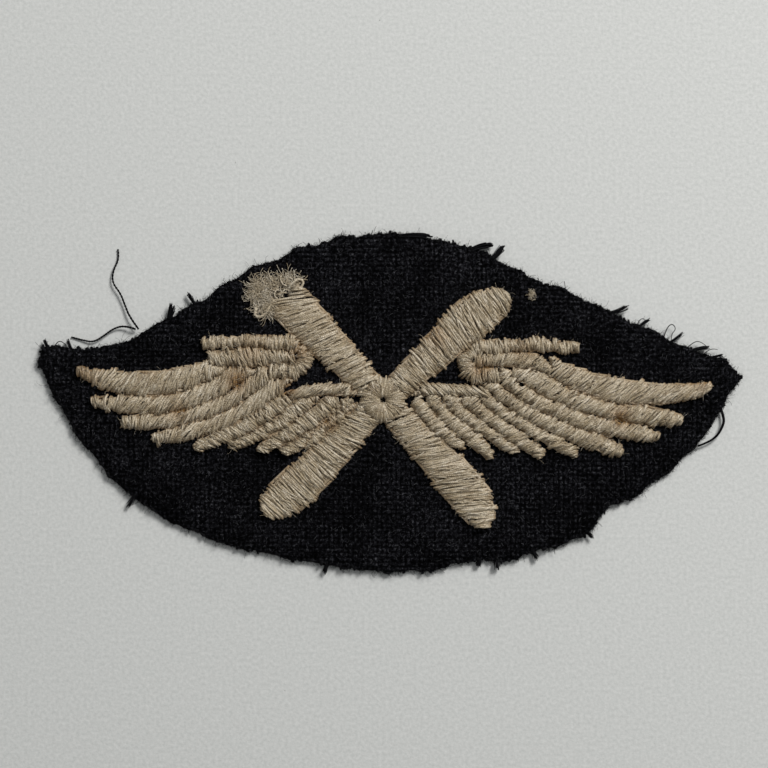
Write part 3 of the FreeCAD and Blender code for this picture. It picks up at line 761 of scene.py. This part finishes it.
def worn_fluff():
    """Padding teased out of the worn tip: a soft clump on the left, a fringe along the top, a few broken
    thread ends, a loop and a curl."""
    clumps = [((-16.0, 13.7), 0.6, 300), ((-15.2, 12.4), 0.6, 260), ((-16.0, 14.9), 0.4, 110),
              ((-14.4, 15.3), 0.3, 70), ((-13.2, 15.6), 0.25, 60), ((-11.9, 15.3), 0.3, 110)]
    spots, turns = [], []
    for middle, spread, count in clumps:
        off = chance.normal(0, 1, (count, 2)) * spread
        spots.append(HUB + middle + off)
        turns.append(np.arctan2(off[:, 1], off[:, 0]) + math.pi / 2 + chance.normal(0, 0.8, count))
    spots, turns = np.concatenate(spots), np.concatenate(turns)
    count = len(spots)
    height = FACE + chance.uniform(0.0, 0.5, count)
    paths = bent_fibres(np.column_stack([spots, height]), turns, chance.uniform(0.8, 2.2, count),
                        chance.normal(0.0, 0.12, count), 2.6, 9)
    ends = 14
    spots = HUB + (-13.0, 14.0) + chance.normal(0, 1, (ends, 2)) * (0.7, 0.5)
    broken = bent_fibres(np.column_stack([spots, FACE + chance.uniform(0.3, 0.7, ends)]),
                         chance.normal(math.pi, 0.7, ends), chance.uniform(0.8, 1.8, ends),
                         chance.normal(0, 0.15, ends), 1.2, 9)
    routes = [[(-14.6, 12.4), (-15.2, 11.2), (-16.2, 10.6), (-16.9, 11.2), (-16.4, 12.0)],
              [(-12.2, 14.8), (-11.4, 15.6), (-10.6, 15.8), (-10.2, 15.1), (-10.8, 14.6)]]
    curls = [smooth_line([(HUB[0] + x, HUB[1] + y, FACE + 0.35) for x, y in route], 9) for route in routes]
    radius = np.concatenate([chance.uniform(0.02, 0.05, count), chance.uniform(0.06, 0.1, ends), [0.2, 0.18]])
    piece = threads("worn_tip_fluff", np.concatenate([paths, broken, curls]), radius, SOFT, sides=5)
    mark_points(piece, "stain_and_shade", 0.15)
    return place(piece, "padding_thread")


worn_fluff()

# ---- The wool cloth ----

YARN = 0.62             # from one wool yarn to the next, both ways
GRID = YARN / 4         # cell of the cloth's face: four to a yarn, so that its weave shows
BACK_GRID = 1.2         # cell of the cloth's back, which is plain
EDGE_STEP = 0.1         # from one point of the cut edge to the next
DROOP = 2.2             # width of the rim that hangs down past the gauze
HANG = 0.03             # how high the rim's back ends up above the floor
RELIEF = 0.2            # height of the weave's relief
WAVES = 9               # plane waves that add up to a smooth noise


def waves(x, y, length, seed):
    """Smooth noise of about a wavelength, mostly between -1 and 1, as a sum of random plane waves."""
    total = np.zeros(np.broadcast(x, y).shape)
    for angle, phase, stretch in np.random.default_rng(seed).random((WAVES, 3)) * (math.tau, math.tau, 1):
        pull = math.tau / (length * (0.7 + 0.8 * stretch))
        total += np.sin(pull * (x * math.cos(angle) + y * math.sin(angle)) + phase)
    return total / math.sqrt(WAVES)


def spaced(loop, step):
    """A closed loop resampled at even steps."""
    closed = np.vstack([loop, loop[:1]])
    return evenly(closed, int(np.linalg.norm(np.diff(closed, axis=0), axis=1).sum() / step), endpoint=False)


def outward_of(loop):
    ahead = np.roll(loop, -3, axis=0) - np.roll(loop, 3, axis=0)
    return unit(np.stack([ahead[:, 1], -ahead[:, 0]], 1) * np.sign(area_of(loop)))


# Shallow bites out of the cut edge: place from the hub, half width and depth.
NOTCHES = [
    (11.0, -21.6, 3.2, 0.7),
    (-34.5, 7.6, 2.4, 0.4),
    (20.5, 15.9, 2.6, 0.3),
]


def ragged_edge():
    """The cut edge: the cloth's outline with the nicks and steps that scissors leave in loose yarn."""
    loop = spaced(outline_loops("wool_cloth", FACE)[0], EDGE_STEP)
    x, y = loop.T
    nicks = 0.16 * waves(x, y, 5.0, 3) + 0.08 * waves(x, y, 1.7, 4) + 0.03 * waves(x, y, 0.7, 5)
    for notch_x, notch_y, wide, deep in NOTCHES:
        gap = np.hypot(x - HUB[0] - notch_x, y - HUB[1] - notch_y) / wide
        nicks -= deep * np.exp(-gap ** 4)
    return loop + outward_of(loop) * (nicks - 0.12)[:, None]


EDGE = ragged_edge()
EDGE_OUT = outward_of(EDGE)
EDGE_TREE = kdtree.KDTree(len(EDGE))
for number, (x, y) in enumerate(EDGE):
    EDGE_TREE.insert((x, y, 0), number)
EDGE_TREE.balance()


def nearest_edge(spots):
    """The number of the nearest point of the cut edge to each spot, and how far off it is."""
    found = [EDGE_TREE.find((x, y, 0)) for x, y in spots]
    return np.array([number for _, number, _ in found]), np.array([gap for _, _, gap in found])


def filled_cells(loop, xs, ys):
    """Which cells of a grid have their middle inside a loop."""
    segments = sides_of([loop])
    inside = np.zeros((len(ys), len(xs)), bool)
    for row, y in enumerate(ys):
        inside[row] = inside_row(segments, y, xs)
    for _ in range(3):          # no two cells meet at a corner only
        a, b, c, d = inside[:-1, :-1], inside[:-1, 1:], inside[1:, :-1], inside[1:, 1:]
        pinched = (a & d & ~b & ~c) | (b & c & ~a & ~d)
        for part in (a, b, c, d):
            part |= pinched
    return inside


def weave_crest(x, y):
    """Relief of a plain weave, from 0 between the yarns to 1: floats of warp and weft in turn, each
    bulging along its own run."""
    u = x / YARN + 0.12 * waves(x, y, 9.0, 7)
    v = y / YARN + 0.12 * waves(x, y, 9.0, 8)
    bulge_u, bulge_v = abs(np.cos(math.pi * u)), abs(np.cos(math.pi * v))
    warp_up = (np.round(u) + np.round(v)) % 2 == 0
    return np.where(warp_up, bulge_u ** 0.9 * bulge_v ** 0.4, bulge_u ** 0.4 * bulge_v ** 0.9)


def cloth_back(gap):
    """Height of the cloth's back at a distance inside the edge: it hangs down round the gauze."""
    share = np.clip(gap / DROOP, 0, 1)
    return HANG + (CLOTH_BACK - HANG) * share ** 2 * (3 - 2 * share)


def cloth_face(x, y, gap):
    """Height of the cloth's face, thinner at the cut edge and slightly puckered by the sewing."""
    thin = 0.35 * np.exp(-gap / 0.45)
    pucker = 0.06 * waves(x, y, 6.0, 10)
    relief = RELIEF * (weave_crest(x, y) - 1) + 0.03 * waves(x, y, 0.35, 9)
    return cloth_back(gap) + FACE - CLOTH_BACK - thin + np.where(gap > 1, pucker, 0) + relief


def woven_face(xs, ys, inside):
    """The face as a grid of cells, whose rim is drawn halfway to the cut edge. Gives its points, its cells
    and the loop of points round its rim."""
    rows, columns = np.nonzero(inside)
    number = rows * len(xs) + columns
    cells = np.stack([number, number + 1, number + len(xs) + 1, number + len(xs)], 1)
    used, cells = np.unique(cells, return_inverse=True)
    cells = cells.reshape(-1, 4)
    flat = np.stack([xs[used % len(xs)], ys[used // len(xs)]], 1)
    nearest, gap = nearest_edge(flat)
    pairs = np.concatenate([cells[:, [0, 1]], cells[:, [1, 2]], cells[:, [2, 3]], cells[:, [3, 0]]])
    keys = pairs[:, 0] * len(flat) + pairs[:, 1]
    rim = pairs[~np.isin(pairs[:, 1] * len(flat) + pairs[:, 0], keys)]
    onward = dict(rim.tolist())
    flat[rim[:, 0]] = (flat[rim[:, 0]] + EDGE[nearest[rim[:, 0]]]) / 2
    gap[rim[:, 0]] = 0
    loop = [rim[0, 0]]
    while onward[loop[-1]] != loop[0]:
        loop.append(onward[loop[-1]])
    return np.column_stack([flat, cloth_face(*flat.T, gap)]), cells, np.array(loop)


def plain_back(lo, hi, inside, rim):
    """The back in triangles, on the face's rim points and coarser ones between them."""
    inner = np.array([(x, y) for x in np.arange(lo[0], hi[0], BACK_GRID)
                      for y in np.arange(lo[1], hi[1], BACK_GRID)])
    column, row = np.clip(((inner - lo) / GRID).astype(int), 0, np.array(inside.shape)[::-1] - 1).T
    gap = nearest_edge(inner)[1]
    kept = inside[row, column] & (gap > BACK_GRID / 2)
    spots = [Vector(spot) for spot in np.concatenate([rim, inner[kept]])]
    spread, _, faces, _, _, _ = delaunay_2d_cdt(spots, [], [list(range(len(rim)))], 1, 1e-6)
    spread = np.array([tuple(spot) for spot in spread])
    gap = np.concatenate([np.zeros(len(rim)), gap[kept]])[:len(spread)]
    return np.column_stack([spread, cloth_back(gap)]), np.array([face[::-1] for face in faces])


def weave_cloth():
    lo, hi = EDGE.min(0) - GRID, EDGE.max(0) + GRID
    xs, ys = np.arange(lo[0], hi[0], GRID), np.arange(lo[1], hi[1], GRID)
    inside = filled_cells(EDGE, xs[:-1] + GRID / 2, ys[:-1] + GRID / 2)
    top, cells, loop = woven_face(xs, ys, inside)
    bottom, faces = plain_back(lo, hi, inside, top[loop, :2])
    below = np.arange(len(loop)) + len(top)
    walls = np.stack([np.roll(loop, -1), loop, below, np.roll(below, -1)], 1)
    points = np.concatenate([top, bottom])
    piece = new_mesh("wool_cloth_woven", points, [cells, walls, faces + len(top)], WOOL)
    # the relief is also marked for the wool's colour, which paints shade in the gaps between the yarns
    mark_points(piece, "crest", weave_crest(points[:, 0], points[:, 1]))
    return place(piece, "wool_cloth", "wool_cloth")


wool_cloth = weave_cloth()

# ---- Nap, cut yarn ends and frayed tufts ----


def raise_nap(count=12000):
    """Short fibres that lie over the face of the wool, drawn thicker than real so that they show."""
    lo, hi = EDGE.min(0), EDGE.max(0)
    spots = lo + chance.random((count * 2, 2)) * (hi - lo)
    segments = sides_of([EDGE[::6]])
    spots = spots[[bool(inside_row(segments, y, x)) for x, y in spots]][:count]
    count = len(spots)
    roots = np.column_stack([spots, cloth_face(*spots.T, nearest_edge(spots)[1]) - 0.03])
    paths = bent_fibres(roots, chance.random(count) * math.tau, chance.uniform(0.2, 0.6, count),
                        chance.uniform(0.02, 0.2, count), 0.9)
    piece = threads("wool_nap", paths, chance.uniform(0.014, 0.03, count), NAP, sides=3,
                    shade=chance.random(count) ** 2)
    return place(piece, "wool_cloth")


def cut_yarn_ends(every=5):
    """The cut ends of warp and weft, which stand out a little way from the edge at every few points."""
    spots, out = EDGE[::every], EDGE_OUT[::every]
    count = len(spots)
    warp = (abs(out[:, 1]) > abs(out[:, 0])) ^ (chance.random(count) < 0.25)
    angle = np.where(warp, np.where(out[:, 1] > 0, math.pi / 2, -math.pi / 2),
                     np.where(out[:, 0] > 0, 0.0, math.pi)) + chance.normal(0, 0.25, count)
    length = 0.3 + np.minimum(chance.exponential(0.12, count), 0.5)
    start = spots - np.stack([np.cos(angle), np.sin(angle)], 1) * 0.4
    roots = np.column_stack([start, chance.uniform(0.25, 0.8, count)])
    paths = bent_fibres(roots, angle, length, chance.uniform(-0.2, 0.15, count), 0.5, 6)
    radius = chance.uniform(0.1, 0.24, (count, 1)) * (1, 1, 1, 0.95, 0.85, 0.6)
    paths[:, :, 2] = np.maximum(paths[:, :, 2], radius + 0.01)
    return place(threads("cut_yarn_ends", paths, radius, FRAY, sides=6), "wool_strand")


def edge_fibres(count=7000):
    """Single fibres that have worked loose all round the edge, also thicker than real."""
    index = chance.integers(0, len(EDGE), count)
    angle = np.arctan2(EDGE_OUT[index, 1], EDGE_OUT[index, 0]) + chance.normal(0, 0.8, count)
    length = 0.15 + chance.exponential(0.2, count)
    roots = np.column_stack([EDGE[index] - EDGE_OUT[index] * 0.15, chance.uniform(0.1, 0.9, count)])
    paths = bent_fibres(roots, angle, np.minimum(length, 2.4), chance.normal(0, 0.25, count), 1.3, 6)
    paths[:, :, 2] = np.maximum(paths[:, :, 2], 0.03)
    return place(threads("edge_fibres", paths, chance.uniform(0.012, 0.028, count), FRAY, sides=3),
                 "wool_strand")


# Frayed tufts: place from the hub, direction in degrees, length and thickness.
TUFTS = [
    (-28.0, 10.6, 75, 1.6, 0.42), (-24.6, 12.6, 115, 1.5, 0.24), (2.2, 21.7, 8, 3.6, 0.5),
    (11.6, 19.4, 30, 2.4, 0.5), (14.6, 18.8, 48, 1.9, 0.42), (29.6, 11.6, 5, 2.2, 0.30),
    (33.2, 9.3, 40, 1.4, 0.24), (37.2, 7.6, 30, 2.0, 0.20), (40.2, 6.6, 20, 2.0, 0.24),
    (42.4, 5.8, 10, 1.6, 0.20), (-40.4, 6.8, 120, 1.3, 0.24), (-43.6, 6.4, 110, 1.0, 0.24),
    (-32.2, -12.2, 235, 1.3, 0.3), (-7.2, -21.4, 250, 1.0, 0.32), (12.6, -20.4, 250, 0.8, 0.3),
    (14.6, -20.5, 285, 1.0, 0.36), (19.6, -20.0, 300, 1.1, 0.32), (26.4, -17.0, 320, 0.9, 0.3),
]
ROOTED = 0.35           # how far inside the edge a tuft starts
BUNDLE = 30             # fibres in a tuft


def fray_tufts():
    """Yarns that have frayed out of the edge: each a bundle of fibres that bends as one and opens out."""
    paths, radii = [], []
    for x, y, direction, length, thick in TUFTS:
        index = nearest_edge([HUB + (x, y)])[0][0]
        root = EDGE[index] - EDGE_OUT[index] * ROOTED
        yarn = bent_fibres(np.array([[*root, 0.6]]), np.array([math.radians(direction)]),
                           np.array([length + ROOTED]), np.array([0.1]), 0.25, 8)
        reach = chance.uniform(0.8, 1.05, (BUNDLE, 1, 1))
        spread = chance.normal(0, thick * 0.32, (BUNDLE, 1, 3)) * np.linspace(0.8, 1.5, 8)[:, None]
        made = yarn[:, :1] + (yarn - yarn[:, :1]) * reach + spread
        made[:, :, 2] = np.maximum(made[:, :, 2], 0.05)
        paths.append(made)
        radii.append(chance.uniform(0.1, 0.25, (BUNDLE, 1)) * thick * np.linspace(1, 0.8, 8))
    return place(threads("frayed_tufts", np.concatenate(paths), np.concatenate(radii), FRAY, sides=5),
                 "wool_strand")


# Routes of the two loose strands from the corner that they have frayed out of, as in the solid ones.
STRANDS = [
    [(0.0, 0.0, 0.8), (-1.2, 1.6, 0.5), (-1.8, 3.1, 0.2), (-2.4, 4.7, 0.16), (-3.5, 6.1, 0.16),
     (-3.4, 7.7, 0.16), (-2.6, 9.3, 0.16), (-2.8, 10.5, 0.16)],
    [(-0.4, 0.0, 0.8), (-1.8, 0.5, 0.5), (-3.3, 0.1, 0.2), (-4.6, -0.9, 0.16), (-5.9, -1.7, 0.16),
     (-7.4, -1.4, 0.16), (-8.8, -1.0, 0.16)],
]
STRAND = 0.09           # radius of each ply of a loose strand
TURNS = 13              # turns of the plies about each other


def loose_strands():
    """Two strands of twisted yarn that lie off the edge on whatever the badge lies on."""
    lo, hi = box_mm("frayed_strands")
    corner = np.array([lo[0] - STRANDS[1][-1][0], hi[1] - STRANDS[0][-1][1], 0])
    stations = 90
    paths, radii = [], []
    for route in STRANDS:
        line = smooth_line([corner + np.array(point) for point in route], stations)
        line[:, 2] += 0.35 * np.sin(np.pi * np.linspace(0, 1, stations)) ** 2
        run = unit(np.gradient(line, axis=0))
        across = np.cross(run, (0, 0, 1.0))
        over = np.cross(across, run)
        turn = np.linspace(0, TURNS * math.tau, stations)[:, None]
        for ply in (0, math.pi):
            paths.append(line + STRAND * 0.75 * (across * np.cos(turn + ply) + over * np.sin(turn + ply)))
            radii.append(STRAND * np.linspace(1, 0.7, stations))
    piece = threads("frayed_strand_yarn", paths, np.array(radii), FRAY, sides=6)
    return place(piece, "wool_strand", "frayed_strands")


# Loops of yarn that have sprung out of the edge: radius, and points from the hub, x and y.
SPRUNG = [
    (0.2, [(43.9, -1.0), (44.5, -2.4), (44.0, -3.8), (43.3, -4.8), (42.2, -5.5), (40.9, -6.0)]),
    (0.06, [(33.0, 9.6), (33.4, 10.5), (34.0, 10.7), (34.3, 10.1), (33.9, 9.3)]),
    (0.07, [(36.6, 8.2), (37.0, 9.6), (37.8, 10.0), (38.2, 9.2), (37.5, 8.6), (37.6, 7.6)]),
    (0.06, [(39.6, 6.8), (40.4, 7.6), (41.4, 7.7), (42.2, 7.0)]),
    (0.06, [(41.8, 6.0), (42.6, 6.9), (43.6, 6.6)]),
    (0.07, [(-43.0, 6.6), (-42.6, 7.5), (-41.8, 7.8), (-41.2, 7.0)]),
]


def sprung_yarns():
    """Yarns that have sprung out of the cut edge in loops."""
    paths = np.array([smooth_line([(*(HUB + spot), 0.5) for spot in route], 24) for _, route in SPRUNG])
    share = np.linspace(0, 1, 24)
    paths[:, :, 2] += 0.25 * np.sin(np.pi * share)
    radii = [radius * (1 - 0.4 * share) for radius, _ in SPRUNG]
    return place(threads("sprung_yarns", paths, np.array(radii), FRAY, sides=6), "wool_strand")


def fluff_speck():
    """A fleck of cream fluff caught on the face of the wool."""
    count = 60
    middle = HUB + (19.4, 13.5)
    spots = middle + chance.normal(0, 1, (count, 2)) * (0.16, 0.28)
    roots = np.column_stack([spots, FACE + chance.uniform(-0.05, 0.2, count)])
    paths = bent_fibres(roots, chance.normal(math.radians(100), 0.6, count), chance.uniform(0.3, 0.7, count),
                        chance.normal(0, 0.08, count), 1.2)
    piece = threads("fluff_speck", paths, chance.uniform(0.02, 0.04, count), SOFT, sides=4)
    mark_points(piece, "stain_and_shade", 0.15)
    return place(piece, "padding_thread")


trims = [raise_nap(), cut_yarn_ends(), edge_fibres(), fray_tufts(), loose_strands(), sprung_yarns(),
         fluff_speck()]

# ---- The back: gauze and back threads ----

GAUZE_PITCH = 0.8       # from one thread of the gauze to the next
GAUZE_STATIONS = 60


def gauze_threads(loop):
    """Warp and weft of an open gauze: the ends of each thread, its number and which way it runs."""
    segments = sides_of([loop])
    lo, hi = loop.min(0), loop.max(0)
    for along, angle in ((0, 0.0), (1, math.pi / 2)):
        other = 1 - along
        for number, level in enumerate(np.arange(lo[other] + 0.3, hi[other], GAUZE_PITCH)):
            spot = np.zeros(2)
            spot[other] = level
            for start, finish in chords(segments, [(spot, angle)], 1.0):
                yield start, finish, number, along


def weave_gauze():
    """Threads that pass over and under each other. Long ones are made of a few stretches."""
    loop = outline_loops("stiffening_gauze", CLOTH_BACK)[0]
    made = []
    for start, finish, number, along in gauze_threads(loop):
        stretches = int(np.linalg.norm(finish - start) / (GAUZE_STATIONS * GAUZE_PITCH / 2)) + 1
        for first in range(stretches):
            share = np.linspace(first, first + 1, GAUZE_STATIONS) / stretches
            flat = start + (finish - start) * share[:, None]
            wander = 0.1 * waves(flat[:, 0], flat[:, 1], 7.0, 20 + along)
            flat = flat + np.array([wander, -wander]).T * (0.5 if along else -0.5)
            over = np.cos(math.pi * (flat[:, along] / GAUZE_PITCH + number))
            made.append(np.column_stack([flat, CLOTH_BACK - 0.075 + 0.03 * over]))
    piece = threads("gauze_weave", made, 0.15, GAUZE, sides=5, flatness=0.35)
    place(piece, "cotton_gauze", "stiffening_gauze")
    abs(area_of(loop)) * MM * MM


def back_stitches(name, columns):
    """The back of each column: flatter threads, further apart, that lie on the gauze."""
    found = []
    for column in columns:
        loops = outline_loops(column)
        segments = sides_of(loops)
        lines = slanted_lines(column, loops[0], segments)[::2]
        found.append(chords(segments, [(spot, slant + 0.12) for spot, slant in lines], 0.9))
    ends = np.concatenate(found)
    share = np.linspace(0.06, 0.94, 7)
    flat = ends[:, :1] + (ends[:, 1:] - ends[:, :1]) * share[:, None]
    flat = flat + chance.normal(0, 0.05, (len(ends), 1, 2))
    height = 0.1 + chance.normal(0, 0.012, (len(ends), 1)) + 0.09 * abs(2 * share - 1) ** 6
    paths = raised(flat, np.broadcast_to(height, flat.shape[:2]))
    piece = threads(f"{name}_stitches", paths, chance.uniform(0.07, 0.1, len(paths)), BOBBIN, sides=5,
                    flatness=0.8)
    mark_points(piece, "stain_and_shade", 0.2)
    return place(piece, "back_thread", name)


weave_gauze()
back_stitches("propeller_back_threads", BLADES)
for wing in WINGS:
    back_stitches(f"{wing}_wing_back_threads", [name for name in FEATHERS if name.startswith(wing)])
nodes["thread_passes"].data.materials[0] = BOBBIN

# ---- Floor, light and camera ----

VIEW_MIDDLE = np.array([HUB[0] + 0.13, HUB[1] + 2.08])      # what the camera looks at, on the face
VIEW_WIDTH = 99.8
CAMERA_DISTANCE = 350.0
CAMERA_TILT = 3.0        # degrees off straight down, towards the bottom of the badge


def lay_floor():
    """A sheet of paper that the badge lies on."""
    half = 600.0
    points = [(-half, -half, 0), (half, -half, 0), (half, half, 0), (-half, half, 0)]
    floor = new_mesh("paper_floor", points, [np.array([[0, 1, 2, 3]])], PAPER)


def soft_light(name, azimuth, elevation, distance, size, power):
    """A square area light in a direction from the badge, facing it."""
    light = bpy.data.lights.new(name, "AREA")
    light.size, light.energy = size * MM, power
    lamp = bpy.data.objects.new(name, light)
    a, e = math.radians(azimuth), math.radians(elevation)
    way = Vector((math.cos(a) * math.cos(e), math.sin(a) * math.cos(e), math.sin(e)))
    lamp.location = way * distance * MM
    lamp.rotation_euler = way.to_track_quat("Z", "Y").to_euler()
    bpy.context.scene.collection.objects.link(lamp)


def set_camera():
    camera = bpy.data.cameras.new("camera")
    camera.sensor_width = 36.0
    camera.lens = 36.0 * CAMERA_DISTANCE / VIEW_WIDTH
    camera.clip_start, camera.clip_end = 10 * MM, 5000 * MM
    holder = bpy.data.objects.new("camera", camera)
    tilt = math.radians(CAMERA_TILT)
    back = Vector((0, -math.sin(tilt), math.cos(tilt)))
    target = Vector((*VIEW_MIDDLE, FACE)) * MM
    holder.location = target + back * CAMERA_DISTANCE * MM
    holder.rotation_euler = (tilt, 0, 0)
    bpy.context.scene.collection.objects.link(holder)
    bpy.context.scene.camera = holder


def set_air():
    """Even light from all round, as in a white room."""
    world = bpy.data.worlds.new("white_room")
    world.use_nodes = True
    background = world.node_tree.nodes["Background"]
    background.inputs["Color"].default_value = tint("#F4F7FA")
    background.inputs["Strength"].default_value = 0.26
    bpy.context.scene.world = world


lay_floor()
soft_light("window", 52, 42, 700, 220, 4.2)
set_air()
set_camera()
bpy.context.scene.view_settings.view_transform = "Standard"
